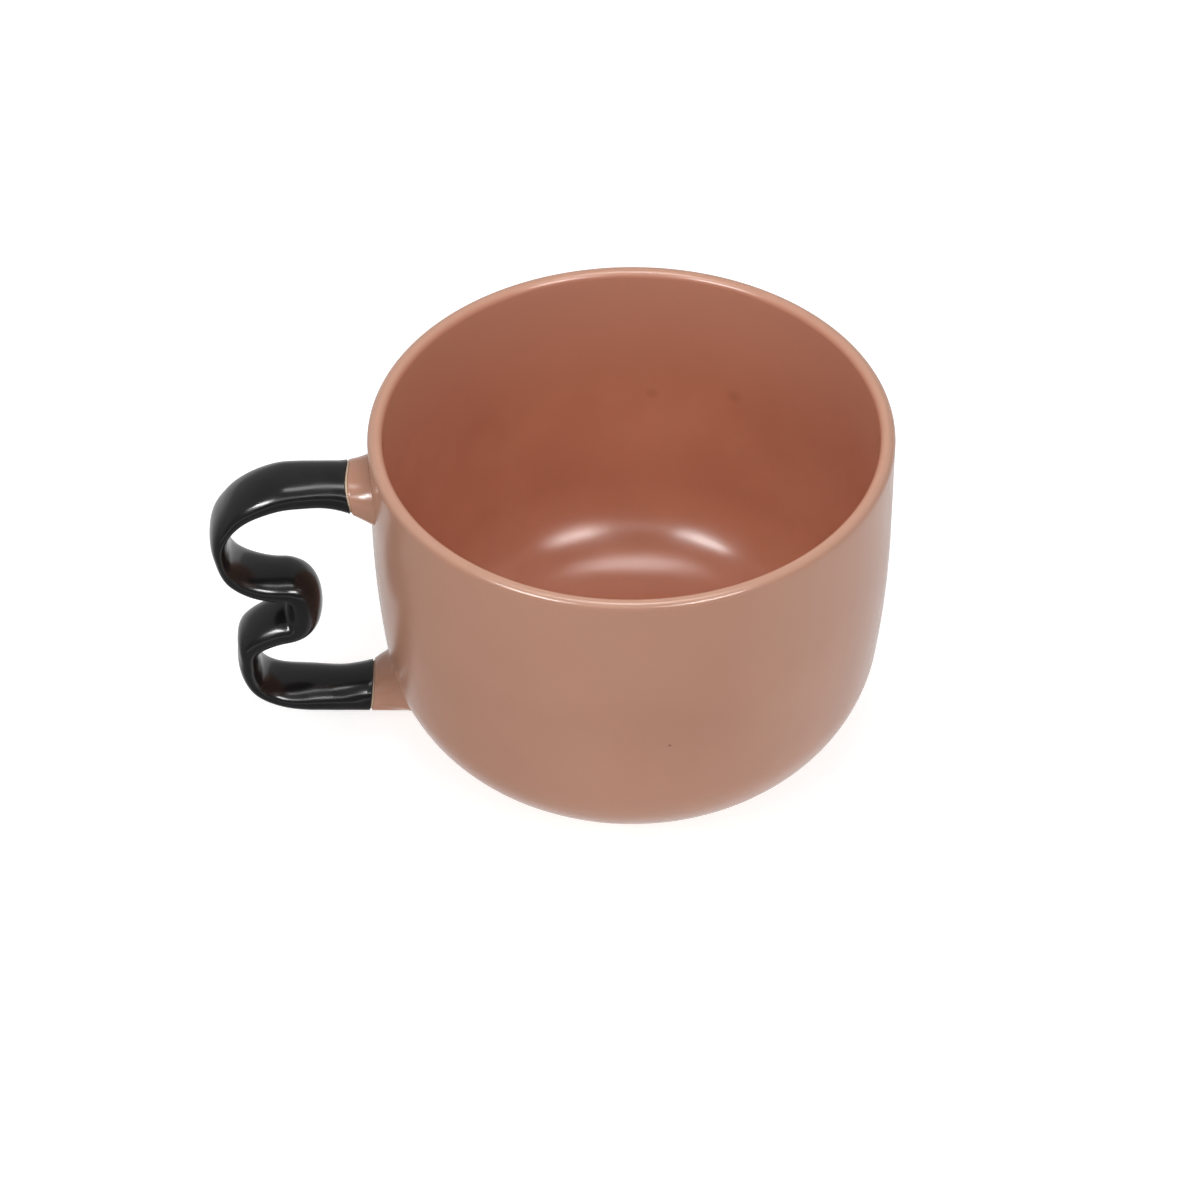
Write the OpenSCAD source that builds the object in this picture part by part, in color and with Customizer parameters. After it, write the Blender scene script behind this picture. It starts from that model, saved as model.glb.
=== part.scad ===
// Wide ceramic mug with a wavy strap handle. The cup stands on z = 0 with its axis on Z.
// The handle points along -X.

/* [Cup] */
// Outside diameter of the cup at the rim
rim_d = 115.2; // [110:0.2:120]
// Height from the table to the top of the lip
mug_h = 84.6; // [82:0.2:88]
// Depth below the lip at which the upright wall starts to curve in
shoulder_depth = 25.8; // [20:0.2:30]
// How far the wall draws in between the shoulder and the heel curve
draw_in = 1.7; // [1.5:0.1:3]
// Radius of the heel curve that turns the wall into the floor
heel_r = 28.2; // [26:0.2:30]
// Thickness of the wall with its glaze, which is also the width of the lip
wall = 3.3; // [2.8:0.1:3.8]
// Thickness of the floor with its glaze
floor_t = 4.5; // [4:0.1:6]

/* [Foot] */
// Height that the foot ring lifts the floor off the table
foot_h = 1.5; // [1.2:0.1:2.5]
// Outside diameter of the foot ring
foot_d = 65; // [62:0.5:68]
// Width of the foot ring
foot_w = 4; // [3:0.1:5]
// Bevel on both edges of the foot ring
foot_bevel = 0.6; // [0.4:0.1:0.9]
// Width of bare clay left between the foot ring and the lower edge of the outside glaze
bare_foot_w = 5.4; // [4.5:0.1:7]

/* [Handle] */
// Width of the clay strap
strap_w = 12.8; // [11:0.2:15]
// Thickness of the clay strap, whose edges are fully round
strap_t = 5.8; // [5:0.1:6.4]
// Depth of the upper arm's middle below the lip, where it leaves the upper loop
upper_arm_depth = 11.7; // [11:0.1:13]
// Height of the lower arm's middle above the table, where it leaves the lower loop
lower_arm_h = 12.4; // [11.6:0.1:13.4]
// Distance from the cup's wall to the upper loop's centre
loop_reach = 19.2; // [18:0.2:24]
// Share of the height between the arms that the upper loop's curve takes
upper_loop_share = 0.457; // [0.43:0.001:0.48]
// Share of that height that the inward bend between the loops takes
bend_share = 0.191; // [0.175:0.001:0.205]
// Angle by which the bend's centre leans out from below the upper loop's centre
bend_lean_angle = 5.5; // [0:0.5:10]
// Angle by which the lower loop's centre leans in from below the bend's centre
lower_lean_angle = 7.7; // [0:0.5:12]
// Angle by which both arms drop towards the cup
arm_drop_angle = 4; // [2:0.5:6]

/* [Joints] */
// Length of the slip that is smoothed on where the upper arm meets the wall
upper_slip_len = 4.2; // [3:0.1:4.3]
// Flare angle of the upper slip where it leaves the arm
upper_flare_angle = 18; // [12:1:22]
// Flare angle of the upper slip next to the wall
upper_wall_angle = 38; // [28:1:42]
// Length of the slip above the lower arm
lower_slip_len = 5.5; // [4:0.1:6.5]
// Flare angle of the lower slip where it leaves the arm
lower_flare_angle = 11; // [8:1:14]
// Flare angle of the lower slip next to the wall
lower_wall_angle = 18; // [14:1:22]
// Angle by which the lower slip turns up, because the wall slopes away under the arm
lower_turn_angle = 12; // [8:1:16]

/* [Glaze] */
// Thickness of every glaze coat
glaze = 0.5; // [0.4:0.05:0.6]
// Distance from the upper slip out to the black glaze
upper_border_gap = 0.8; // [0.7:0.1:4]
// Distance from the lower slip out to the black glaze
lower_border_gap = 2.5; // [1.5:0.1:5]
// Width of the bare line between the black and the salmon glaze
bare_line = 0.6; // [0.4:0.1:1]

/* [Hidden] */

clay_colour = "#cdb59c";
slip_colour = "#b9a189";
salmon_colour = "#b2876f";
liner_colour = "#a0624c";
black_colour = "#1d1d1f";

round_steps = 96;
heel_steps = 30;
belly_steps = 5;
lip_step_angle = 10;

// Cup: the heel curve's centre is shared by the outside, the clay and the cavity
rim_r = rim_d / 2;
lip_r = wall / 2;
lip_mid_r = rim_r - lip_r;
lip_z = mug_h - lip_r;
heel_x = rim_r - draw_in - heel_r;
heel_z = foot_h + heel_r;
shoulder_z = mug_h - shoulder_depth;
cavity_r = rim_r - wall;
cavity_heel_r = heel_r - floor_t;
foot_r = foot_d / 2;
foot_inner_r = foot_r - foot_w;

// Handle: the loops and the bend fill the height between the arms, each by its share
lower_loop_share = 1 - upper_loop_share - bend_share;
arms_h = mug_h - upper_arm_depth - lower_arm_h;
curves_r = arms_h / (
    upper_loop_share * (cos(arm_drop_angle) + cos(bend_lean_angle))
    + bend_share * (cos(bend_lean_angle) + cos(lower_lean_angle))
    + lower_loop_share * (cos(lower_lean_angle) + cos(arm_drop_angle))
);
upper_loop_r = upper_loop_share * curves_r;
bend_r = bend_share * curves_r;
lower_loop_r = lower_loop_share * curves_r;

// Centres of the three curves, as distance from the cup's axis and height
upper_centre_z = mug_h - upper_arm_depth - upper_loop_r * cos(arm_drop_angle);
upper_centre = [rim_r + loop_reach, upper_centre_z];
bend_aim = bend_lean_angle - 90;
bend_centre = upper_centre + (upper_loop_r + bend_r) * [cos(bend_aim), sin(bend_aim)];
lower_aim = 270 - lower_lean_angle;
lower_centre = bend_centre + (bend_r + lower_loop_r) * [cos(lower_aim), sin(lower_aim)];
arm_way = [cos(arm_drop_angle), sin(arm_drop_angle)];
arm_side = [-sin(arm_drop_angle), cos(arm_drop_angle)];
upper_arm_end = upper_centre + upper_loop_r * arm_side;
lower_arm_end = lower_centre - lower_loop_r * arm_side;

// Length of an arm from its loop in to a distance from the cup's axis
function arm_length(arm_end, axis_distance) = (arm_end[0] - axis_distance) / cos(arm_drop_angle);

// The place on an arm at a distance from the cup's axis
function arm_place(arm_end, axis_distance) = arm_end - arm_length(arm_end, axis_distance) * arm_way;

// Radius of the outside wall at a height on the heel curve
function heel_wall_r(height) = heel_x + sqrt(pow(heel_r, 2) - pow(heel_z - height, 2));

// Each loop is this much slimmer all round and runs this far into its neighbours
lap_step = 0.04;
lap_len = 0.3;

// The arms run on into the cup's solid and are cut off at its face
upper_root_r = rim_r - wall - strap_t;
lower_root_r = heel_x;

// The slip starts in front of the wall that its arm's upper side meets, and ends behind the wall
// that its lower side meets
arm_at_wall_z = arm_place(lower_arm_end, rim_r)[1];
upper_slip_r = rim_r + upper_slip_len;
upper_slip_end_r = cavity_r;
lower_slip_r = heel_wall_r(arm_at_wall_z + strap_t / 2) + lower_slip_len;
lower_slip_end_r = heel_wall_r(arm_at_wall_z - strap_t) - wall;
upper_border_r = upper_slip_r + upper_border_gap;
lower_border_r = lower_slip_r + lower_border_gap;
slip_first_share = 0.55;
slip_sink = 0.3;

// Points along an arc
function arc_points(centre, radius, from, to, steps) = [
    for (i = [0:steps])
        let (angle = from + (to - from) * i / steps)
        centre + radius * [cos(angle), sin(angle)]
];

// Radius of the belly curve, which is tangent to the upright wall and to the heel curve
function belly_r(wall_r, curve_r) =
    let (across = wall_r - heel_x, up = shoulder_z - heel_z)
    (pow(across, 2) + pow(up, 2) - pow(curve_r, 2)) / (2 * (across - curve_r));

// Side of the cup from the floor up: the heel curve, the belly curve and the foot of the upright wall
function side_points(wall_r, curve_r) =
    let (
        big_r = belly_r(wall_r, curve_r),
        tilt = -atan2(shoulder_z - heel_z, heel_x - wall_r + big_r)
    )
    concat(
        arc_points([heel_x, heel_z], curve_r, -90, tilt, heel_steps),
        arc_points([wall_r - big_r, shoulder_z], big_r, tilt * (1 - 1 / belly_steps), 0, belly_steps - 1)
    );

// Solid outline of the cup from the axis out to an upright wall and its heel curve
module cup_outline(wall_r, curve_r, top) {
    polygon(concat(
        [[0, heel_z - curve_r]],
        side_points(wall_r, curve_r),
        [[wall_r, top], [0, top]]
    ));
}

// Round lip with its middle on lip_z, less a skin, from one angle to another
module lip_outline(skin, from, to) {
    polygon(concat(
        [[lip_mid_r, lip_z]],
        arc_points([lip_mid_r, lip_z], lip_r - skin, from, to, (to - from) / lip_step_angle)
    ));
}

// Outside of the clay, filled to the axis
module clay_outline() {
    cup_outline(rim_r - glaze, heel_r - glaze, lip_z);
}

// Hollow of the cup up to a height, less a skin that lines it
module cavity_outline(skin, top) {
    cup_outline(cavity_r + skin, cavity_heel_r + skin, top);
}

// Foot ring with bevelled edges, which runs on up through the cup to the heel curve's centre
module foot_outline() {
    polygon([
        [foot_inner_r, heel_z],
        [foot_inner_r, foot_bevel],
        [foot_inner_r + foot_bevel, 0],
        [foot_r - foot_bevel, 0],
        [foot_r, foot_bevel],
        [foot_r, heel_z]
    ]);
}

// Turns an outline about the cup's axis
module turned() {
    rotate_extrude($fn = 2 * round_steps)
        children();
}

// Clay cup with its wall, floor and foot ring
module cup_clay() {
    color(clay_colour)
        turned()
            union() {
                difference() {
                    union() {
                        clay_outline();
                        foot_outline();
                    }
                    cavity_outline(glaze, mug_h);
                }
                lip_outline(glaze, 0, 180);
            }
}

// Glaze that lines the cup and rolls over the inner half of the lip
module liner_glaze() {
    color(liner_colour)
        turned()
            union() {
                difference() {
                    cavity_outline(glaze, lip_z);
                    cavity_outline(0, mug_h);
                }
                difference() {
                    lip_outline(0, 90, 180);
                    lip_outline(glaze, 0, 180);
                }
            }
}

// Glaze under the floor, inside the bare foot ring
module base_glaze() {
    color(salmon_colour)
        turned()
            intersection() {
                difference() {
                    cup_outline(rim_r, heel_r, lip_z);
                    clay_outline();
                }
                square([foot_inner_r, heel_z]);
            }
}

// Puts what is drawn in the handle's plane, as distance from the axis and height, on the -X side
module in_handle_plane() {
    rotate([0, 0, 180])
        rotate([90, 0, 0])
            children();
}

// Strap section with fully round edges: thickness across, width up
module strap_section(skin) {
    flat_w = strap_w - strap_t;
    square([strap_t + 2 * skin, flat_w], center = true);
    for (side = [-1, 1])
        translate([0, side * flat_w / 2])
            circle(strap_t / 2 + skin, $fn = round_steps);
}

// Straight arm with a skin, from a loop towards the cup, as far as a distance from the cup's axis
module arm(arm_end, axis_distance, skin) {
    start = arm_place(arm_end, axis_distance);
    translate([start[0], start[1], 0])
        rotate([0, 0, arm_drop_angle])
            rotate([90, 0, 90])
                linear_extrude(arm_length(arm_end, axis_distance))
                    strap_section(skin);
}

// One curve of the handle about its centre
module curve(centre, mid_r, from, to, skin) {
    translate([centre[0], centre[1], 0])
        rotate([0, 0, from])
            rotate_extrude(angle = to - from, $fn = 2 * round_steps)
                translate([mid_r, 0])
                    strap_section(skin);
}

// A loop of the handle, a hair slimmer than its neighbours, which it laps into at both ends
module loop(centre, mid_r, from, to, skin) {
    lap_angle = lap_len / mid_r * 180 / PI;
    curve(centre, mid_r, from - lap_angle, to + lap_angle, skin - lap_step);
}

// The strap with a skin, from a distance from the cup's axis on one arm to one on the other
module strap(skin, upper_stop, lower_stop) {
    in_handle_plane() {
        arm(upper_arm_end, upper_stop, skin);
        loop(upper_centre, upper_loop_r, bend_aim, 90 + arm_drop_angle, skin);
        curve(bend_centre, bend_r, bend_aim + 180, lower_aim, skin);
        loop(lower_centre, lower_loop_r, arm_drop_angle - 90, lower_aim - 180, skin);
        arm(lower_arm_end, lower_stop, skin);
    }
}

// The clay strap before it is cut to the cup
module whole_strap() {
    strap(0, upper_root_r, lower_root_r);
}

// Everything inside the outside face of the clay cup
module cup_space() {
    turned()
        clay_outline();
}

// Clay strap of the handle, cut to the cup's wall
module handle_clay() {
    color(clay_colour)
        difference() {
            whole_strap();
            cup_space();
        }
}

// Length of strap that widens as it goes, by pairs of skin and distance from its start
module flared_strap(flare) {
    flat_w = strap_w - strap_t;
    edge = [for (pair = flare) [strap_t / 2 + pair[0], pair[1]]];
    other_edge = [for (i = [len(edge) - 1:-1:0]) [-edge[i][0], edge[i][1]]];
    middle = [for (i = [len(edge) - 1, 0]) [0, edge[i][1]]];
    for (turn = [0, 180])
        rotate([0, 0, turn])
            translate([0, flat_w / 2, 0])
                rotate_extrude(angle = 180, $fn = round_steps)
                    polygon(concat(edge, middle));
    rotate([90, 0, 0])
        linear_extrude(flat_w, center = true)
            polygon(concat(edge, other_edge));
}

// Slip round one arm under a skin: it leaves the arm gently, then spreads to the wall
module slip_form(arm_end, start_r, end_r, slip_len, flare_angle, wall_angle, turn_angle, skin) {
    start = arm_place(arm_end, start_r);
    first_len = slip_len * slip_first_share;
    last_len = start_r - end_r - first_len;
    first_skin = skin - slip_sink;
    mid_skin = first_skin + first_len * tan(flare_angle);
    last_skin = mid_skin + last_len * tan(wall_angle);
    in_handle_plane()
        translate([start[0], start[1], 0])
            rotate([0, 0, arm_drop_angle - turn_angle])
                rotate([90, 0, -90])
                    flared_strap([
                        [first_skin, 0],
                        [mid_skin, first_len],
                        [last_skin, first_len + last_len]
                    ]);
}

// Slip round the upper arm under a skin
module upper_slip(skin) {
    slip_form(upper_arm_end, upper_slip_r, upper_slip_end_r, upper_slip_len,
              upper_flare_angle, upper_wall_angle, 0, skin);
}

// Slip round the lower arm under a skin
module lower_slip(skin) {
    slip_form(lower_arm_end, lower_slip_r, lower_slip_end_r, lower_slip_len,
              lower_flare_angle, lower_wall_angle, lower_turn_angle, skin);
}

// Slip joint between the upper arm and the wall
module upper_slip_joint() {
    color(slip_colour)
        difference() {
            upper_slip(0);
            whole_strap();
            cup_space();
        }
}

// Slip joint between the lower arm and the wall
module lower_slip_joint() {
    color(slip_colour)
        difference() {
            lower_slip(0);
            whole_strap();
            cup_space();
        }
}

// Black glaze round the strap, between the two bare lines
module handle_glaze() {
    color(black_colour)
        difference() {
            strap(glaze, upper_border_r, lower_border_r);
            whole_strap();
        }
}

// Outside glaze of one root as a solid, from the bare line into the cup
module root_cover(arm_end, border_r, root_r) {
    start = arm_place(arm_end, root_r);
    reach = arm_length(arm_end, root_r) - arm_length(arm_end, border_r - bare_line);
    in_handle_plane()
        translate([start[0], start[1], 0])
            rotate([0, 0, arm_drop_angle])
                rotate([90, 0, 90])
                    linear_extrude(reach)
                        strap_section(glaze);
}

// Outside glaze: the wall from above the foot to the top of the lip, and both roots of the handle
module outer_glaze() {
    color(salmon_colour)
        difference() {
            union() {
                turned()
                    union() {
                        difference() {
                            cup_outline(rim_r, heel_r, lip_z);
                            square([foot_r + bare_foot_w, heel_z]);
                        }
                        lip_outline(0, 0, 90);
                    }
                root_cover(upper_arm_end, upper_border_r, upper_root_r);
                root_cover(lower_arm_end, lower_border_r, lower_root_r);
                upper_slip(glaze);
                lower_slip(glaze);
            }
            turned()
                union() {
                    clay_outline();
                    lip_outline(glaze, 0, 180);
                }
            whole_strap();
            upper_slip(0);
            lower_slip(0);
        }
}

cup_clay();
handle_clay();
upper_slip_joint();
lower_slip_joint();
liner_glaze();
outer_glaze();
base_glaze();
handle_glaze();
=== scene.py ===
import math
from collections import namedtuple

import bmesh
import bpy
from mathutils import Matrix, Vector


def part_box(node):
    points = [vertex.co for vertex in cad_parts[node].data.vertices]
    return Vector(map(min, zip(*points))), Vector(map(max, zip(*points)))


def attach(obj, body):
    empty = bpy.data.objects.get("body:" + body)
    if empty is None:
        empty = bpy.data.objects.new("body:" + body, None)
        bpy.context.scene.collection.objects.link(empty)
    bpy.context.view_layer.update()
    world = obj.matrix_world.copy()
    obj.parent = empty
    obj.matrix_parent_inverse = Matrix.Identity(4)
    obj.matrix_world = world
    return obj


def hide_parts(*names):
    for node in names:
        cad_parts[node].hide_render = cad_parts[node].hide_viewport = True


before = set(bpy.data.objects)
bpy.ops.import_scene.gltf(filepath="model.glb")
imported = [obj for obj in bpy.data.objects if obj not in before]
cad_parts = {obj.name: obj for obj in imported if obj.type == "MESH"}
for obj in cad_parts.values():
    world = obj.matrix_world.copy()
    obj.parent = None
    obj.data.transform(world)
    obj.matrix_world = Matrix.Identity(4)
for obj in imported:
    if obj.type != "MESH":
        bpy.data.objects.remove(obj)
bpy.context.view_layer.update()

MM = 0.001
QUARTER = math.pi / 2

# Cup: its outline is a straight wall, a long belly curve and a heel curve
RIM_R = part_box("outer_glaze")[1].x
MUG_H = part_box("outer_glaze")[1].z
FOOT_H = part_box("base_glaze")[0].z
WALL = 3.3 * MM
FLOOR_T = 4.5 * MM
GLAZE = 0.5 * MM
SHOULDER_DEPTH = 25.8 * MM
DRAW_IN = 1.7 * MM
HEEL_R = 28.2 * MM
BARE_EDGE_R = 37.9 * MM
GLAZE_EDGE_R = 0.22 * MM

LIP_R = WALL / 2
LIP_MID_R = RIM_R - LIP_R
LIP_Z = MUG_H - LIP_R
CAVITY_R = RIM_R - WALL
CAVITY_HEEL_R = HEEL_R - FLOOR_T
HEEL_X = RIM_R - DRAW_IN - HEEL_R
HEEL_Z = FOOT_H + HEEL_R
SHOULDER_Z = MUG_H - SHOULDER_DEPTH

# Handle: two loops and an inward bend of one strap, in the plane of X and Z
STRAP_W = 13.2 * MM
STRAP_T = 6.8 * MM
UPPER_ARM_DEPTH = 11.7 * MM
LOWER_ARM_H = 12.4 * MM
LOOP_REACH = 19.2 * MM
UPPER_LOOP_SHARE = 0.457
BEND_SHARE = 0.191
BEND_LEAN = math.radians(5.5)
LOWER_LEAN = math.radians(7.7)
ARM_DROP = math.radians(4)
BARE_LINE = 0.35 * MM
UPPER_BORDER_R = 62.1 * MM
LOWER_BORDER_R = 60.4 * MM

# Power of the strap's section, which would be a plain ellipse at 2 and gets squarer above it
STRAP_SQUARENESS = 2.1

# Steps that the curves are drawn in
ROUND_STEPS = 256
HEEL_STEPS = 28
BELLY_STEPS = 14
WALL_STEPS = 8
LIP_STEPS = 12
FLOOR_STEPS = 16
SECTION_POINTS = 48
ARM_STEPS = 16
UPPER_LOOP_STEPS = 64
BEND_STEPS = 32
LOWER_LOOP_STEPS = 48
ROOT_STEPS = 18
EDGE_STEPS = 4
ROOT_SHARES = [step / ROOT_STEPS for step in range(ROOT_STEPS + 1)]

# Rounds that find where a line along an arm meets the curved wall
WALL_ROUNDS = 8

# Points closer than this are one, and edges sharper than this are shaded as edges
WELD = 0.001 * MM
SHARP_ANGLE = math.radians(50)

# Camera, as fitted to the photograph, with its angles in degrees
CAMERA_AZIMUTH = -3.7
CAMERA_ELEVATION = 42.7
CAMERA_ROLL = -0.6
CAMERA_DISTANCE = 900 * MM
CAMERA_RIGHT = 6.79 * MM
CAMERA_UP = 37.6 * MM
SENSOR_W = 36
CAMERA_LENS = 123.9

# Colours of the glazes, the clay, the slip and the floor
SALMON = (0.425, 0.220, 0.149, 1)
SALMON_DEEP = (0.395, 0.200, 0.134, 1)
# Pale lip colour: partly glaze breaking thin over the lip, partly painted light where the lip faces up
SALMON_PALE = (0.56, 0.325, 0.235, 1)
TERRACOTTA = (0.495, 0.197, 0.118, 1)
TERRACOTTA_DEEP = (0.445, 0.168, 0.099, 1)
# Lighter terracotta for the upper inside wall: painted light, where more light falls on the upper wall
TERRACOTTA_PAINTED_LIGHT = (0.54, 0.246, 0.162, 1)
SMUDGE_BROWN = (0.12, 0.045, 0.03, 1)
BLACK = (0.006, 0.006, 0.0065, 1)
BLACK_THIN = (0.010, 0.009, 0.009, 1)
CLAY = (0.62, 0.47, 0.34, 1)
CLAY_DEEP = (0.47, 0.33, 0.22, 1)
SLIP = (0.50, 0.37, 0.27, 1)
FLOOR_WHITE = (0.62, 0.62, 0.62, 1)
FLOOR_SHADE = (0.60, 0.60, 0.60, 1)
WHITE = (1, 1, 1, 1)

# Small marks in the glaze, strongest in their middle
Mark = namedtuple("Mark", "place radius strength")
PINHOLE = Mark(Vector((3.8, -57.1, 43.1)) * MM, 0.5 * MM, 1.0)
SMUDGES = (
    Mark(Vector((8.9, 53.3, 49.4)) * MM, 2.3 * MM, 0.15),
    Mark(Vector((27.4, 46.7, 52.7)) * MM, 2.6 * MM, 0.17),
)

# A satin glaze goes over to its upper colour along the upper band, which inside the cup is painted light
# where more light falls on the upper wall. It goes in part to a pale one on the lip, partly glaze breaking
# thin over it and partly painted light where the lip faces up
UPPER_BAND = 38 * MM
LIP_BAND = 1.0 * MM
LIP_PALE_SHARE = 0.65

# Soft patches: their size, the detail of their noise, its low and high limits, and the values at those limits
Patches = namedtuple("Patches", "size detail low high low_value high_value")
GLAZE_TONE = Patches(30 * MM, 2.0, 0.25, 0.75, 0.0, 1.0)
GLAZE_MOTTLE = Patches(5 * MM, 1.0, 0.45, 0.8, 0.0, 0.3)
GLAZE_ROUGHNESS = Patches(12 * MM, 2.0, 0.3, 0.7, 0.20, 0.25)
BLACK_TONE = Patches(9 * MM, 3.0, 0.35, 0.7, 0.0, 1.0)
BLACK_ROUGHNESS = Patches(5 * MM, 3.0, 0.3, 0.75, 0.16, 0.24)
CLAY_TONE = Patches(14 * MM, 3.0, 0.3, 0.7, 0.0, 1.0)
CLAY_SPECK = Patches(0.5 * MM, 2.0, 0.62, 0.75, 0.0, 0.5)
CLAY_ROUGHNESS = Patches(2 * MM, 2.0, 0.3, 0.7, 0.75, 0.9)
FLOOR_TONE = Patches(400 * MM, 2.0, 0.3, 0.7, 0.0, 1.0)

# Ripples of a surface: their size, the detail of their noise and their depth
Ripples = namedtuple("Ripples", "size detail depth")
GLAZE_RIPPLES = Ripples(14 * MM, 1.0, 0.05 * MM)
BLACK_RIPPLES = Ripples(6 * MM, 1.0, 0.09 * MM)
CLAY_GRAIN = Ripples(0.4 * MM, 3.0, 0.04 * MM)

# Sockets of a mix node, which has more than one of each name: its colours and its numbers
COLOUR_A, COLOUR_B, COLOUR_OUT = 6, 7, 2
NUMBER_A, NUMBER_B, NUMBER_OUT = 2, 3, 0

# Floor, with its radius in metres. It also glows by itself, so that it's nearly white beside the cup too.
FLOOR_R = 3.0
FLOOR_SEGMENTS = 96
FLOOR_ROUGHNESS = 0.9
FLOOR_SHEEN = 0.1
FLOOR_GLOW = 0.7

# Surroundings above the horizon, dark low down in front. Edges are places on a ball of radius 1.
HORIZON_GLOW = 0.42
FRONT_HORIZON_GLOW = 0.1
OVERHEAD_GLOW = 0.35
OVERHEAD_POWER = 3.0
HORIZON_EDGES = (-0.02, 0.02)
FRONT_EDGES = (-0.5, 0.1)

# Surroundings below it, bright behind and to the right, with a low band in front
LEFT_BELOW_GLOW = 0.25
BACK_BELOW_GLOW = 0.85
RIGHT_SHARE = 0.8
BELOW_EDGES = (-0.4, 0.6)
LOW_BAND_GLOW = 1.2
BAND_TOP_EDGES = (-0.05, -0.02)
BAND_FOOT_EDGES = (-0.17, -0.13)
BAND_FRONT_EDGES = (-0.7, -0.45)

# Lamps as the middle of the cup sees them, with their angles in degrees and their distance in metres
Lamp = namedtuple("Lamp", "name azimuth elevation width height glow distance")
CUP_MIDDLE = Vector((0, 0, MUG_H / 2))

# The glints are seen only in the gloss of the glazes
GLINT_LAMPS = (
    Lamp("overhead_glint", -20, 84, 40, 13, 5, 0.35),
    Lamp("overhead_core", -20, 84, 13, 10, 22, 0.35),
    Lamp("left_glint", -47, 38, 22, 8, 36, 1.2),
    Lamp("right_glint", 28, 38, 22, 8, 30, 1.2),
    Lamp("front_glint", -8, 36, 70, 5, 5, 1.2),
)

# The fills only light the surfaces
FILL_LAMPS = (
    Lamp("overhead_fill", 0, 84, 31, 9, 15, 0.35),
    Lamp("left_fill", -44, 39, 22, 14, 4, 1.2),
    Lamp("right_fill", 28, 38, 22, 14, 6, 1.2),
    Lamp("front_fill", 0, 44, 80, 22, 1.7, 1.2),
    Lamp("side_fill", -90, 33, 70, 40, 0.3, 1.2),
)

# From this elevation up a lamp is nearly overhead, and its width lies along X
OVERHEAD_LIMIT = 70


def handle_point(distance, height):
    """A place in the handle's plane, by its distance from the cup's axis and its height."""
    return Vector((-distance, 0, height))


def handle_way(angle):
    """A direction in the handle's plane, by its angle up from straight away from the cup."""
    return handle_point(math.cos(angle), math.sin(angle))


def curve_radii():
    """Radii of the upper loop, the bend and the lower loop, which fill the height between the arms."""
    lower_share = 1 - UPPER_LOOP_SHARE - BEND_SHARE
    drop, lean, lower_lean = math.cos(ARM_DROP), math.cos(BEND_LEAN), math.cos(LOWER_LEAN)
    stack = (UPPER_LOOP_SHARE * (drop + lean) + BEND_SHARE * (lean + lower_lean)
             + lower_share * (lower_lean + drop))
    total = (MUG_H - UPPER_ARM_DEPTH - LOWER_ARM_H) / stack
    return total * UPPER_LOOP_SHARE, total * BEND_SHARE, total * lower_share


UPPER_LOOP_R, BEND_R, LOWER_LOOP_R = curve_radii()
BEND_AIM = BEND_LEAN - QUARTER
LOWER_AIM = 3 * QUARTER - LOWER_LEAN
ARM_WAY = handle_way(ARM_DROP)
ARM_SIDE = handle_way(ARM_DROP + QUARTER)
UPPER_CENTRE_Z = MUG_H - UPPER_ARM_DEPTH - UPPER_LOOP_R * math.cos(ARM_DROP)
UPPER_CENTRE = handle_point(RIM_R + LOOP_REACH, UPPER_CENTRE_Z)
BEND_CENTRE = UPPER_CENTRE + (UPPER_LOOP_R + BEND_R) * handle_way(BEND_AIM)
LOWER_CENTRE = BEND_CENTRE + (BEND_R + LOWER_LOOP_R) * handle_way(LOWER_AIM)
UPPER_ARM_END = UPPER_CENTRE + UPPER_LOOP_R * ARM_SIDE
LOWER_ARM_END = LOWER_CENTRE - LOWER_LOOP_R * ARM_SIDE

# Each root of the handle flares to the wall along a parabola, with its rise at the wall and its length on top
# and underneath. Its border to the black glaze bows out in the middle, and runs back at its far top and near
# lower ends.
Root = namedtuple("Root", "arm_end border_r top_rise top_len under_rise under_len bow far_back near_back")
UPPER_ROOT = Root(
    arm_end=UPPER_ARM_END,
    border_r=UPPER_BORDER_R,
    top_rise=1.6 * MM,
    top_len=6.8 * MM,
    under_rise=3.5 * MM,
    under_len=13.7 * MM,
    bow=1.8 * MM,
    far_back=0.2 * MM,
    near_back=0.9 * MM,
)
LOWER_ROOT = Root(
    arm_end=LOWER_ARM_END,
    border_r=LOWER_BORDER_R,
    top_rise=5.6 * MM,
    top_len=18.5 * MM,
    under_rise=0.3 * MM,
    under_len=4 * MM,
    bow=0.1 * MM,
    far_back=1.15 * MM,
    near_back=0,
)

# How far along the arm a border's bow fades out
BORDER_FADE = 4 * MM

# A place farther than this above or below an arm isn't moved by its flare
FLARE_REACH = 2 * STRAP_T

# How deep the edge of a root's glaze is tucked into the cup's glaze
TUCK = 0.1 * MM

# The strap is pressed thinner round each loop, by a share that is largest at one angle up from level and
# fades over the reach. It moves places within the band on either side of the loop's middle line.
Press = namedtuple("Press", "centre radius share angle")
PRESSES = (
    Press(UPPER_CENTRE, UPPER_LOOP_R, 0.46, 0.0),
    Press(LOWER_CENTRE, LOWER_LOOP_R, 0.38, math.radians(-20)),
)
PRESS_REACH = math.radians(110)
PRESS_BAND = 0.7 * STRAP_T

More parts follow.
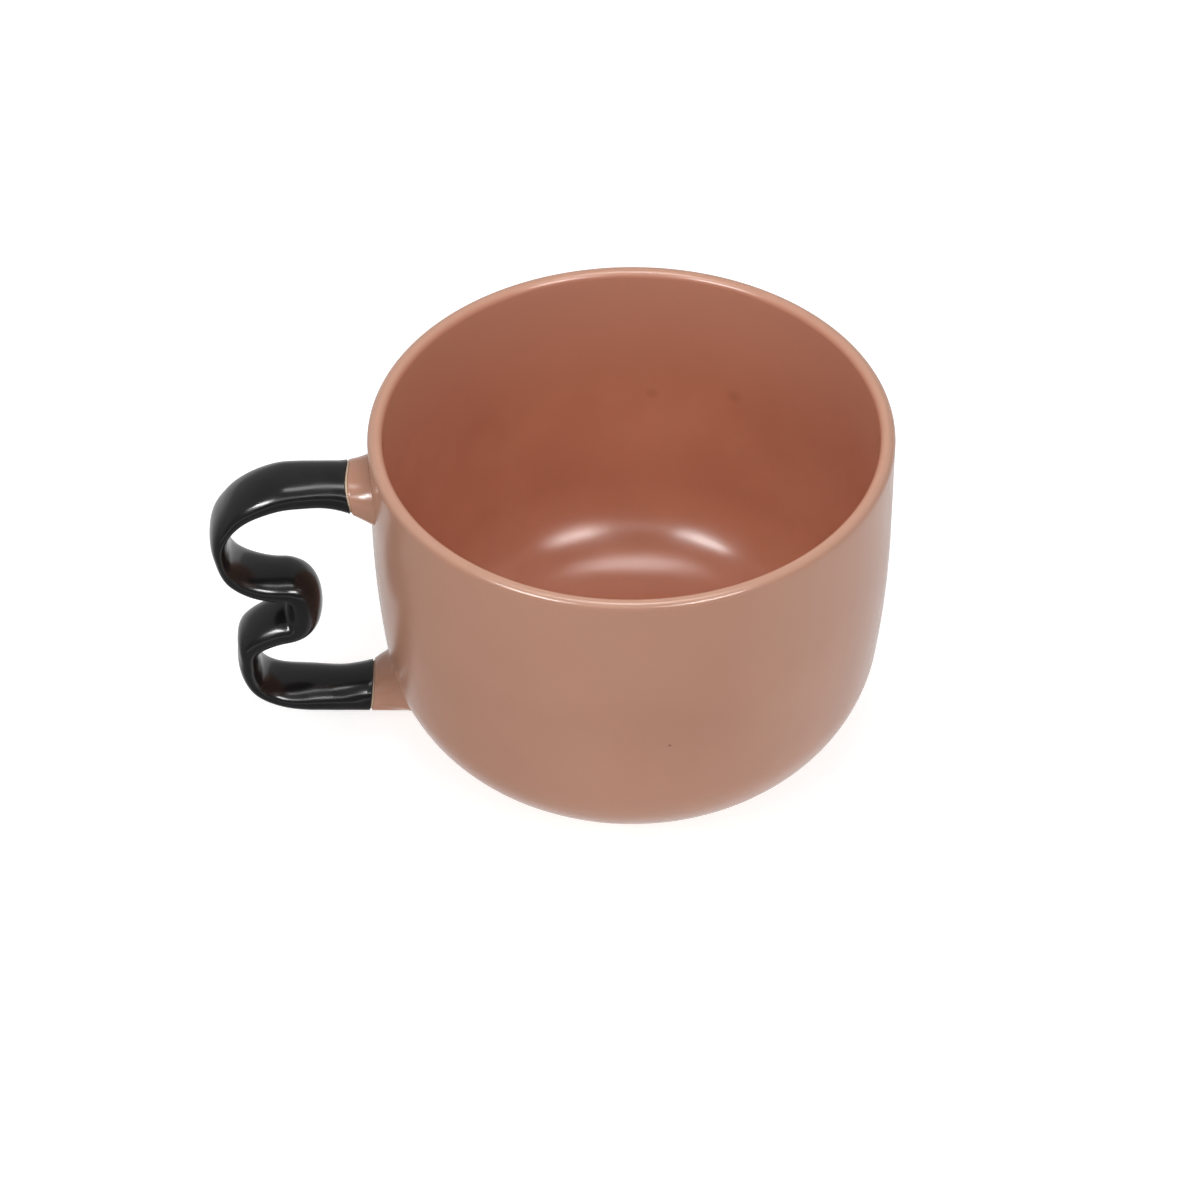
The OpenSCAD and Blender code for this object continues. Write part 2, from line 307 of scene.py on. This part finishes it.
# The hand-bent strap departs from plain curves by a few soft moves. Each has its place and reach, how far it
# goes out from the cup and up, and the share by which the strap is narrower there.
Move = namedtuple("Move", "place reach out up narrower")
HAND_MOVES = (
    Move(handle_point(66 * MM, 73 * MM), 16 * MM, -0.3 * MM, 0.7 * MM, 0.1),
    Move(handle_point(84 * MM, 71 * MM), 10 * MM, 0.6 * MM, -0.9 * MM, 0.0),
    Move(handle_point(90 * MM, 60 * MM), 9 * MM, 0.9 * MM, 0.2 * MM, -0.1),
    Move(handle_point(87 * MM, 50 * MM), 9 * MM, 1.6 * MM, 0.6 * MM, 0.0),
    Move(handle_point(78 * MM, 45 * MM), 8 * MM, 0.1 * MM, 0.4 * MM, 0.06),
    Move(handle_point(73 * MM, 39 * MM), 7 * MM, 1.4 * MM, -0.6 * MM, 0.0),
    Move(handle_point(84 * MM, 31 * MM), 8 * MM, 2.0 * MM, -1.0 * MM, 0.06),
    Move(handle_point(82 * MM, 13 * MM), 9 * MM, 0.5 * MM, 0.6 * MM, 0.04),
    Move(handle_point(66 * MM, 12 * MM), 13 * MM, 0.0, -0.4 * MM, 0.1),
)


def arm_place(arm_end, distance):
    """The place on an arm's middle line at a distance from the cup's axis."""
    return arm_end - ARM_WAY * ((distance + arm_end.x) / ARM_WAY.x)


def black_border(root):
    """The middle of the border where the black glaze ends at a root."""
    return arm_place(root.arm_end, root.border_r)


def slip_border(root):
    """The middle of the border where a root's slip and glaze end, one bare line from the black glaze."""
    return arm_place(root.arm_end, root.border_r - BARE_LINE)


def belly_curve(wall_r, heel_r):
    """Radius of the belly curve and the angle below level at which it hands over to the heel curve."""
    across = wall_r - HEEL_X
    up = SHOULDER_Z - HEEL_Z
    radius = (across ** 2 + up ** 2 - heel_r ** 2) / (2 * (across - heel_r))
    return radius, math.atan2(up, HEEL_X - wall_r + radius)


def side_r(height, wall_r=RIM_R, heel_r=HEEL_R):
    """Radius of the cup's outside, or of a surface inside it, at a height."""
    if height >= SHOULDER_Z:
        return wall_r
    radius, tilt = belly_curve(wall_r, heel_r)
    if height >= HEEL_Z - heel_r * math.sin(tilt):
        return wall_r - radius + math.sqrt(radius ** 2 - (SHOULDER_Z - height) ** 2)
    return HEEL_X + math.sqrt(max(heel_r ** 2 - (HEEL_Z - height) ** 2, 0))


def points_of(items):
    """The points among points and edges."""
    return [item for item in items if isinstance(item, bmesh.types.BMVert)]


def edges_of(items):
    """The edges among points and edges."""
    return [item for item in items if isinstance(item, bmesh.types.BMEdge)]


def draw_on(bm, geom, steps, angle=0.0, centre=(0, 0, 0), shift=(0, 0, 0)):
    """Draws points or edges on by a turn about a centre, in the plane of X and Z, or by a straight run."""
    made = bmesh.ops.spin(bm, geom=geom, cent=centre, axis=(0, 1, 0), dvec=shift, angle=angle,
                          steps=steps, use_merge=False, use_duplicate=False)
    return made["geom_last"]


def draw_wall(bm, start, wall_r, heel_r, heel_angle):
    """Draws a point on up the heel curve, the belly curve and the upright wall. Returns the last point."""
    radius, tilt = belly_curve(wall_r, heel_r)
    last = draw_on(bm, [start], HEEL_STEPS, angle=tilt - heel_angle, centre=(HEEL_X, 0, HEEL_Z))
    last = draw_on(bm, last, BELLY_STEPS, angle=-tilt, centre=(wall_r - radius, 0, SHOULDER_Z))
    return draw_on(bm, last, WALL_STEPS, shift=(0, 0, (LIP_Z - SHOULDER_Z) / WALL_STEPS))


def heel_point(bm, radius, angle):
    """A new point at an angle up from level on a circle about the middle of the heel curve."""
    return bm.verts.new((HEEL_X + radius * math.cos(angle), 0, HEEL_Z + radius * math.sin(angle)))


def turn_shell(bm):
    """Turns a closed outline in the plane of X and Z about the cup's axis."""
    bmesh.ops.remove_doubles(bm, verts=bm.verts, dist=WELD)
    bmesh.ops.spin(bm, geom=bm.verts[:] + bm.edges[:], cent=(0, 0, 0), axis=(0, 0, 1), dvec=(0, 0, 0),
                   angle=2 * math.pi, steps=ROUND_STEPS, use_merge=True, use_duplicate=False)
    close_shell(bm)


def close_shell(bm):
    """Merges doubled points and turns every face of a closed shell outwards."""
    bmesh.ops.remove_doubles(bm, verts=bm.verts, dist=WELD)
    bmesh.ops.recalc_face_normals(bm, faces=bm.faces)


def new_piece(name, bm, slot, *nodes):
    """A finished piece of the mug, which stands for some nodes of the frame."""
    mesh = bpy.data.meshes.new(name)
    for face in bm.faces:
        face.smooth = True
    bm.to_mesh(mesh)
    bm.free()
    mesh.set_sharp_from_angle(angle=SHARP_ANGLE)
    piece = bpy.data.objects.new(name, mesh)
    bpy.context.scene.collection.objects.link(piece)
    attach(piece, "root")
    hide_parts(*nodes)
    return piece


def fade(share):
    """One at the middle of a reach, going softly to nothing at its end."""
    return max(1 - share ** 2, 0) ** 2


def section_out(across, up):
    """The way straight out of the strap's section, from a place given in half widths and half heights."""
    power = STRAP_SQUARENESS - 1
    return Vector((math.copysign(abs(across) ** power, across) / STRAP_W,
                   math.copysign(abs(up) ** power, up) / STRAP_T)).normalized()


def section_place(turn, skin):
    """A place on the strap's section, as its width and height from the middle, with a skin outside it."""
    power = 2 / STRAP_SQUARENESS
    across = math.copysign(abs(math.cos(turn)) ** power, math.cos(turn))
    up = math.copysign(abs(math.sin(turn)) ** power, math.sin(turn))
    out = section_out(across, up)
    return across * STRAP_W / 2 + out.x * skin, up * STRAP_T / 2 + out.y * skin


def new_ring(bm, place):
    """A closed ring of points, each put where a function says for its turn round the strap's middle line."""
    ring = bmesh.ops.create_circle(bm, segments=SECTION_POINTS, radius=1)["verts"]
    for vert in ring:
        vert.co = place(math.atan2(vert.co.y, vert.co.x))
    return ring + list({edge for vert in ring for edge in vert.link_edges})


def strap_ring(bm, middle, skin):
    """A ring round the strap, square to the arms, about a place on an arm's middle line."""
    def place(turn):
        wide, high = section_place(turn, skin)
        return middle + Vector((0, wide, 0)) + ARM_SIDE * high
    return new_ring(bm, place)


def on_wall(point, skin):
    """The place where a line along the arm through a point meets the cup's outside, less a skin."""
    height = point.z
    for _ in range(WALL_ROUNDS):
        radius = side_r(height, RIM_R - skin, HEEL_R - skin)
        back = (point.x + math.sqrt(radius ** 2 - point.y ** 2)) / ARM_WAY.x
        height = point.z - ARM_WAY.z * back
    return point - ARM_WAY * back


def border_shift(point, root):
    """How far a place on an arm moves along it, so that its border bows and runs back as brushed."""
    near = max(1 - abs(point.x + root.border_r) / BORDER_FADE, 0)
    rise = (point - root.arm_end).dot(ARM_SIDE)
    far = point.y / STRAP_W + rise / STRAP_T
    move = root.bow * (1 - far ** 2) - (root.far_back * (1 + far) + root.near_back * (1 - far)) / 2
    return ARM_WAY * (move * near * near * (3 - 2 * near))


def flare(point, root, capped):
    """How far a place on an arm moves out from the strap, so that the root flares to the wall.
    A capped flare keeps its height at the border all the way to the wall, as the clay under the slip does."""
    rise = (point - root.arm_end).dot(ARM_SIDE)
    if abs(rise) > FLARE_REACH:
        return Vector()
    out = section_out(point.y / (STRAP_W / 2), rise / (STRAP_T / 2))
    away = (point - on_wall(point, 0)).dot(ARM_WAY)
    if capped:
        away += max((slip_border(root) - point).dot(ARM_WAY), 0)
    topness = (1 + out.y) / 2
    height = root.under_rise + (root.top_rise - root.under_rise) * topness
    length = root.under_len + (root.top_len - root.under_len) * topness
    lift = height * max(1 - max(away, 0) / length, 0) ** 2
    return Vector((0, out.x, 0)) * lift + ARM_SIDE * (out.y * lift)


def pressed(point):
    """Where a place goes when the loops are pressed thinner."""
    for press in PRESSES:
        arm = Vector((press.centre.x - point.x, point.z - press.centre.z))
        offset = arm.length - press.radius
        if abs(offset) < PRESS_BAND:
            share = press.share * fade((math.atan2(arm.y, arm.x) - press.angle) / PRESS_REACH)
            way = arm.normalized()
            return point - handle_point(way.x, way.y) * (offset * share)
    return point


def hand_shape(point, capped=False):
    """Where a place on the plain strap lies on the hand-bent one, the same for every coat."""
    root = UPPER_ROOT if point.z > BEND_CENTRE.z else LOWER_ROOT
    shaped = pressed(point + border_shift(point, root) + flare(point, root, capped))
    moved = shaped.copy()
    for move in HAND_MOVES:
        near = fade(Vector((shaped.x - move.place.x, shaped.z - move.place.z)).length / move.reach)
        moved += handle_point(move.out, move.up) * near
        moved.y -= shaped.y * move.narrower * near
    return moved


def shape_by_hand(verts):
    """Moves points of the plain strap to their places on the hand-bent one."""
    for vert in verts:
        vert.co = hand_shape(vert.co)


def root_ring(bm, root, skin, depth, spread, capped=False):
    """A ring round a root at a skin's distance. Its spread goes from 0 at the border to 1 on the wall, or at
    a depth under it."""
    border = slip_border(root)
    share = math.sin(spread * QUARTER)

    def place(turn):
        wide, high = section_place(turn, skin)
        edge = border + Vector((0, wide, 0)) + ARM_SIDE * high
        foot = on_wall(edge, depth)
        away = (edge - foot).dot(ARM_WAY) * (1 - share)
        shaped = hand_shape(foot + ARM_WAY * away, capped)
        return shaped + (on_wall(shaped, depth) + ARM_WAY * away - shaped) * share
    return new_ring(bm, place)


def bridge(bm, rings):
    """Joins rings of points, each to the next."""
    for ring, following in zip(rings, rings[1:]):
        bmesh.ops.bridge_loops(bm, edges=edges_of(ring + following))


def draw_strap(bm, ring, upper_start, lower_stop):
    """Draws a ring on along the upper arm, the three curves and the lower arm. Returns the last ring."""
    out = UPPER_ARM_END - upper_start
    back = lower_stop - LOWER_ARM_END
    ring = draw_on(bm, ring, ARM_STEPS, shift=out / ARM_STEPS)
    ring = draw_on(bm, ring, UPPER_LOOP_STEPS, angle=BEND_AIM - ARM_DROP - QUARTER, centre=UPPER_CENTRE)
    ring = draw_on(bm, ring, BEND_STEPS, angle=LOWER_AIM - BEND_AIM - math.pi, centre=BEND_CENTRE)
    ring = draw_on(bm, ring, LOWER_LOOP_STEPS, angle=ARM_DROP + QUARTER - LOWER_AIM, centre=LOWER_CENTRE)
    return draw_on(bm, ring, ARM_STEPS, shift=back / ARM_STEPS)


def edge_rings(bm, edge_place, way, outer_skin):
    """Rings that roll a coat's edge over, from its outer face down to the clay."""
    rings = []
    for step in range(EDGE_STEPS + 1):
        turn = QUARTER * step / EDGE_STEPS
        middle = edge_place + way * (GLAZE_EDGE_R * (1 - math.sin(turn)))
        rings.append(strap_ring(bm, middle, outer_skin * math.cos(turn)))
    return rings


def add_root_glaze(bm, root):
    """Salmon glaze round a root of the handle, from the bare line to the wall."""
    edge = edge_rings(bm, slip_border(root), -ARM_WAY, GLAZE)
    shape_by_hand([point for ring in edge for point in points_of(ring)])
    rings = [root_ring(bm, root, GLAZE + TUCK, TUCK, 1)]
    rings += [root_ring(bm, root, GLAZE, 0, share) for share in reversed(ROOT_SHARES[1:])]
    rings += edge
    rings += [root_ring(bm, root, 0, GLAZE, share) for share in ROOT_SHARES[1:]]
    bridge(bm, rings + rings[:1])


def make_slip(name, root, node):
    """Slip smoothed round the strap between one root's glaze and the wall."""
    bm = bmesh.new()
    rings = [root_ring(bm, root, 0, GLAZE, share) for share in ROOT_SHARES]
    rings += [root_ring(bm, root, 0, GLAZE, share, capped=True) for share in reversed(ROOT_SHARES)]
    bridge(bm, rings + rings[:1])
    close_shell(bm)
    return new_piece(name, bm, "slip", node)


def make_clay_strap():
    """The clay strap, from the clay wall at its upper end round to the wall at its lower end."""
    bm = bmesh.new()
    upper_border = black_border(UPPER_ROOT)
    lower_border = black_border(LOWER_ROOT)
    first = strap_ring(bm, upper_border, 0)
    last = draw_strap(bm, first, upper_border, lower_border)
    shape_by_hand(bm.verts)
    for root, ring in ((UPPER_ROOT, first), (LOWER_ROOT, last)):
        rings = [root_ring(bm, root, 0, GLAZE, share, capped=True) for share in ROOT_SHARES]
        bridge(bm, [ring] + rings)
        bmesh.ops.contextual_create(bm, geom=edges_of(rings[-1]))
    close_shell(bm)
    return new_piece("clay_strap", bm, "clay", "handle_clay")


def make_black_glaze():
    """Glossy black glaze round the strap between the two bare lines, with rolled edges."""
    bm = bmesh.new()
    upper_border = black_border(UPPER_ROOT)
    lower_border = black_border(LOWER_ROOT)
    upper_rings = edge_rings(bm, upper_border, ARM_WAY, GLAZE)
    lower_rings = edge_rings(bm, lower_border, ARM_WAY, GLAZE)
    roll = ARM_WAY * GLAZE_EDGE_R
    draw_strap(bm, upper_rings[0], upper_border + roll, lower_border + roll)
    draw_strap(bm, upper_rings[-1], upper_border, lower_border)
    bridge(bm, upper_rings)
    bridge(bm, lower_rings)
    close_shell(bm)
    shape_by_hand(bm.verts)
    return new_piece("black_glaze", bm, "black_glaze", "handle_glaze")


def make_outside_glaze():
    """Salmon glaze over the outside, from the bare foot to the top of the lip, and over both handle roots."""
    bm = bmesh.new()
    heel_turn = math.acos((BARE_EDGE_R - HEEL_X) / HEEL_R)
    edge_turn = GLAZE_EDGE_R / HEEL_R
    outer = heel_point(bm, HEEL_R, edge_turn - heel_turn)
    last = draw_wall(bm, outer, RIM_R, HEEL_R, heel_turn - edge_turn)
    top = draw_on(bm, last, LIP_STEPS, angle=-QUARTER, centre=(LIP_MID_R, 0, LIP_Z))
    inner = heel_point(bm, HEEL_R - GLAZE, -heel_turn)
    last = draw_wall(bm, inner, RIM_R - GLAZE, HEEL_R - GLAZE, heel_turn)
    under_top = draw_on(bm, last, LIP_STEPS, angle=-QUARTER, centre=(LIP_MID_R, 0, LIP_Z))
    edge = heel_point(bm, HEEL_R - GLAZE_EDGE_R, -heel_turn)
    for start, end in ((top[0], under_top[0]), (outer, edge), (edge, inner)):
        bm.edges.new((start, end))
    turn_shell(bm)
    add_root_glaze(bm, UPPER_ROOT)
    add_root_glaze(bm, LOWER_ROOT)
    return new_piece("outside_glaze", bm, "salmon_glaze", "outer_glaze")


def make_inside_glaze():
    """Terracotta glaze that lines the cup and meets the outside glaze on top of the lip."""
    bm = bmesh.new()
    ends = []
    for skin in (0, GLAZE):
        floor_z = HEEL_Z - CAVITY_HEEL_R - skin
        centre = bm.verts.new((0, 0, floor_z))
        last = draw_on(bm, [centre], FLOOR_STEPS, shift=(HEEL_X / FLOOR_STEPS, 0, 0))
        last = draw_wall(bm, points_of(last)[0], CAVITY_R + skin, CAVITY_HEEL_R + skin, QUARTER)
        last = draw_on(bm, last, LIP_STEPS, angle=QUARTER, centre=(LIP_MID_R, 0, LIP_Z))
        ends.append((centre, last))
    (centre, last), (under_centre, under_last) = ends
    bm.edges.new((last[0], under_last[0]))
    bm.edges.new((centre, under_centre))
    turn_shell(bm)
    return new_piece("inside_glaze", bm, "liner_glaze", "liner_glaze")


def new_material(name):
    """A new material, its node tree, its shader and its Object coordinates."""
    material = bpy.data.materials.new(name)
    material.use_nodes = True
    tree = material.node_tree
    place = tree.nodes.new("ShaderNodeTexCoord").outputs["Object"]
    return material, tree, tree.nodes["Principled BSDF"], place


def add_node(tree, kind, inputs, **settings):
    """A new node. Each input is a number, a colour or another node's output."""
    node = tree.nodes.new(kind)
    for setting, value in settings.items():
        setattr(node, setting, value)
    for key, value in inputs.items():
        if isinstance(value, bpy.types.NodeSocket):
            tree.links.new(value, node.inputs[key])
        else:
            node.inputs[key].default_value = value
    return node


def maths(tree, operation, *values):
    """The result of a reckoning with numbers or other nodes' outputs."""
    return add_node(tree, "ShaderNodeMath", dict(enumerate(values)), operation=operation).outputs[0]


def cloud(tree, place, size, detail):
    """Soft noise from 0 to 1 whose patches are about a size across."""
    inputs = {"Vector": place, "Scale": 1 / size, "Detail": detail}
    return add_node(tree, "ShaderNodeTexNoise", inputs).outputs["Fac"]


def between(tree, value, low, high, to_low=0.0, to_high=1.0):
    """A value's place between two limits, eased at both ends and held past them."""
    inputs = {"Value": value, "From Min": low, "From Max": high, "To Min": to_low, "To Max": to_high}
    return add_node(tree, "ShaderNodeMapRange", inputs, interpolation_type="SMOOTHSTEP").outputs["Result"]


def patched(tree, place, patches):
    """A value that changes slowly from patch to patch."""
    noise = cloud(tree, place, patches.size, patches.detail)
    return between(tree, noise, patches.low, patches.high, patches.low_value, patches.high_value)


def rippled(tree, place, ripples):
    """The way straight out of a finely rippled surface."""
    height = cloud(tree, place, ripples.size, ripples.detail)
    inputs = {"Height": height, "Distance": ripples.depth, "Strength": 1.0}
    return add_node(tree, "ShaderNodeBump", inputs).outputs["Normal"]


def mix(tree, share, colour, other):
    """A colour that goes over to another by a share."""
    inputs = {"Factor": share, COLOUR_A: colour, COLOUR_B: other}
    return add_node(tree, "ShaderNodeMix", inputs, data_type="RGBA").outputs[COLOUR_OUT]


def mix_value(tree, share, value, other):
    """A number that goes over to another by a share."""
    inputs = {"Factor": share, NUMBER_A: value, NUMBER_B: other}
    return add_node(tree, "ShaderNodeMix", inputs, data_type="FLOAT").outputs[NUMBER_OUT]


def satin_glaze(name, colour, deep, upper, marks):
    """Satin glaze with slow changes of tone, another colour up the wall, which inside the cup is painted
    light, a paler lip that is partly glaze breaking thin and partly painted light, and some small marks.
    """
    material, tree, shader, place = new_material(name)
    body = mix(tree, patched(tree, place, GLAZE_TONE), colour, deep)
    body = mix(tree, patched(tree, place, GLAZE_MOTTLE), body, deep)
    height = add_node(tree, "ShaderNodeSeparateXYZ", {"Vector": place}).outputs["Z"]
    # Inside the cup this band is painted light: the upper wall is painted lighter where more light falls on
    # it
    body = mix(tree, between(tree, height, MUG_H - UPPER_BAND, MUG_H), body, upper)
    # Partly real and partly painted light: the lip is paler where the glaze breaks thin, and painted lighter
    # where it faces up
    thin_glaze_and_painted_light = between(tree, height, MUG_H - LIP_BAND, MUG_H, 0.0, LIP_PALE_SHARE)
    body = mix(tree, thin_glaze_and_painted_light, body, SALMON_PALE)
    for mark in marks:
        ends = {0: place, 1: mark.place}
        distance = add_node(tree, "ShaderNodeVectorMath", ends, operation="DISTANCE").outputs["Value"]
        body = mix(tree, between(tree, distance, 0, mark.radius, mark.strength, 0), body, SMUDGE_BROWN)
    tree.links.new(body, shader.inputs["Base Color"])
    tree.links.new(patched(tree, place, GLAZE_ROUGHNESS), shader.inputs["Roughness"])
    tree.links.new(rippled(tree, place, GLAZE_RIPPLES), shader.inputs["Normal"])
    return material


def gloss_black():
    """Glossy black glaze, brushed on a little unevenly."""
    material, tree, shader, place = new_material("black_glaze")
    body = mix(tree, patched(tree, place, BLACK_TONE), BLACK, BLACK_THIN)
    tree.links.new(body, shader.inputs["Base Color"])
    tree.links.new(patched(tree, place, BLACK_ROUGHNESS), shader.inputs["Roughness"])
    tree.links.new(rippled(tree, place, BLACK_RIPPLES), shader.inputs["Normal"])
    return material


def bare_clay(name, colour):
    """Fired clay without glaze, finely grained."""
    material, tree, shader, place = new_material(name)
    body = mix(tree, patched(tree, place, CLAY_TONE), colour, CLAY_DEEP)
    body = mix(tree, patched(tree, place, CLAY_SPECK), body, CLAY_DEEP)
    tree.links.new(body, shader.inputs["Base Color"])
    tree.links.new(patched(tree, place, CLAY_ROUGHNESS), shader.inputs["Roughness"])
    tree.links.new(rippled(tree, place, CLAY_GRAIN), shader.inputs["Normal"])
    return material


def way_from_cup(azimuth, elevation):
    """The way from the cup to where a lamp or the camera stands, with azimuth 0 in front of it."""
    turn, tilt = math.radians(azimuth), math.radians(elevation)
    return Vector((math.sin(turn) * math.cos(tilt), -math.cos(turn) * math.cos(tilt), math.sin(tilt)))


def level_right(azimuth):
    """The level way to the right, as seen from an azimuth."""
    turn = math.radians(azimuth)
    return Vector((math.cos(turn), math.sin(turn), 0))


def softbox(lamp):
    """A flat lamp that faces the cup, as wide and as bright as the cup sees it."""
    data = bpy.data.lights.new(lamp.name, "AREA")
    data.shape = "RECTANGLE"
    data.size = 2 * lamp.distance * math.tan(math.radians(lamp.width) / 2)
    data.size_y = 2 * lamp.distance * math.tan(math.radians(lamp.height) / 2)
    data.energy = lamp.glow * math.pi * data.size * data.size_y
    holder = bpy.data.objects.new(lamp.name, data)
    bpy.context.scene.collection.objects.link(holder)
    way = way_from_cup(lamp.azimuth, lamp.elevation)
    holder.location = CUP_MIDDLE + way * lamp.distance
    level = level_right(lamp.azimuth) if lamp.elevation < OVERHEAD_LIMIT else Vector((1, 0, 0))
    side = (level - way * level.dot(way)).normalized()
    rise = way.cross(side)
    holder.rotation_euler = Matrix([[side[i], rise[i], way[i]] for i in range(3)]).to_euler()
    holder.visible_camera = False
    return holder


def make_surroundings():
    """White surroundings. They are dark low down in front, and what lies below the horizon, where only
    reflections see it, is bright behind and to the right and in a narrow band in front."""
    world = bpy.data.worlds.new("surroundings")
    world.use_nodes = True
    tree = world.node_tree
    way = tree.nodes.new("ShaderNodeTexCoord").outputs["Generated"]
    parts = add_node(tree, "ShaderNodeSeparateXYZ", {"Vector": way}).outputs
    high = maths(tree, "POWER", between(tree, parts["Z"], 0, 1), OVERHEAD_POWER)
    horizon = between(tree, parts["Y"], *FRONT_EDGES, FRONT_HORIZON_GLOW, HORIZON_GLOW)
    above = mix_value(tree, high, horizon, OVERHEAD_GLOW)
    back_right = maths(tree, "MULTIPLY_ADD", parts["X"], RIGHT_SHARE, parts["Y"])
    below = between(tree, back_right, *BELOW_EDGES, LEFT_BELOW_GLOW, BACK_BELOW_GLOW)
    band_top = between(tree, parts["Z"], *BAND_TOP_EDGES, 1, 0)
    band_foot = between(tree, parts["Z"], *BAND_FOOT_EDGES)
    band_front = between(tree, parts["Y"], *BAND_FRONT_EDGES, 1, 0)
    band = maths(tree, "MULTIPLY", maths(tree, "MULTIPLY", band_top, band_foot), band_front)
    below = mix_value(tree, band, below, LOW_BAND_GLOW)
    glow = mix_value(tree, between(tree, parts["Z"], *HORIZON_EDGES), below, above)
    background = tree.nodes["Background"]
    background.inputs["Color"].default_value = WHITE
    tree.links.new(glow, background.inputs["Strength"])
    bpy.context.scene.world = world


def make_stage():
    """A wide pale floor that fades into white surroundings."""
    bm = bmesh.new()
    bmesh.ops.create_circle(bm, cap_ends=True, segments=FLOOR_SEGMENTS, radius=FLOOR_R)
    mesh = bpy.data.meshes.new("floor")
    bm.to_mesh(mesh)
    bm.free()
    floor = bpy.data.objects.new("floor", mesh)
    bpy.context.scene.collection.objects.link(floor)
    material, tree, shader, place = new_material("floor_paper")
    body = mix(tree, patched(tree, place, FLOOR_TONE), FLOOR_WHITE, FLOOR_SHADE)
    tree.links.new(body, shader.inputs["Base Color"])
    shader.inputs["Roughness"].default_value = FLOOR_ROUGHNESS
    shader.inputs["Specular IOR Level"].default_value = FLOOR_SHEEN
    shader.inputs["Emission Color"].default_value = WHITE
    shader.inputs["Emission Strength"].default_value = FLOOR_GLOW
    mesh.materials.append(material)
    floor.visible_glossy = False


def make_camera():
    """The photograph's camera, by its angles, its distance and where it aims."""
    back = way_from_cup(CAMERA_AZIMUTH, CAMERA_ELEVATION)
    level = level_right(CAMERA_AZIMUTH)
    roll = math.radians(CAMERA_ROLL)
    rise = back.cross(level)
    right = level * math.cos(roll) + rise * math.sin(roll)
    up = rise * math.cos(roll) - level * math.sin(roll)
    data = bpy.data.cameras.new("camera")
    data.sensor_width = SENSOR_W
    data.lens = CAMERA_LENS
    camera = bpy.data.objects.new("camera", data)
    bpy.context.scene.collection.objects.link(camera)
    eye = Vector((0, 0, MUG_H)) - right * CAMERA_RIGHT - up * CAMERA_UP + back * CAMERA_DISTANCE
    pose = [[right[i], up[i], back[i], eye[i]] for i in range(3)] + [[0, 0, 0, 1]]
    camera.matrix_world = Matrix(pose)
    bpy.context.scene.camera = camera


bpy.context.scene.view_settings.view_transform = "Standard"
make_camera()

salmon = satin_glaze("salmon_glaze", SALMON, SALMON_DEEP, SALMON, [PINHOLE])
terracotta = satin_glaze("terracotta_glaze", TERRACOTTA, TERRACOTTA_DEEP, TERRACOTTA_PAINTED_LIGHT, SMUDGES)
clay = bare_clay("fired_clay", CLAY)
finishes = (
    (make_outside_glaze(), salmon),
    (make_inside_glaze(), terracotta),
    (make_black_glaze(), gloss_black()),
    (make_clay_strap(), clay),
    (make_slip("upper_slip", UPPER_ROOT, "upper_slip_joint"), bare_clay("fired_slip", SLIP)),
    (make_slip("lower_slip", LOWER_ROOT, "lower_slip_joint"), bare_clay("fired_lower_slip", SLIP)),
    (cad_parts["cup_clay"], clay),
    (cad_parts["base_glaze"], salmon),
)
for piece, material in finishes:
    piece.data.materials.clear()
    piece.data.materials.append(material)

make_stage()
make_surroundings()
for lamp in GLINT_LAMPS:
    softbox(lamp).visible_diffuse = False
for lamp in FILL_LAMPS:
    softbox(lamp).visible_glossy = False
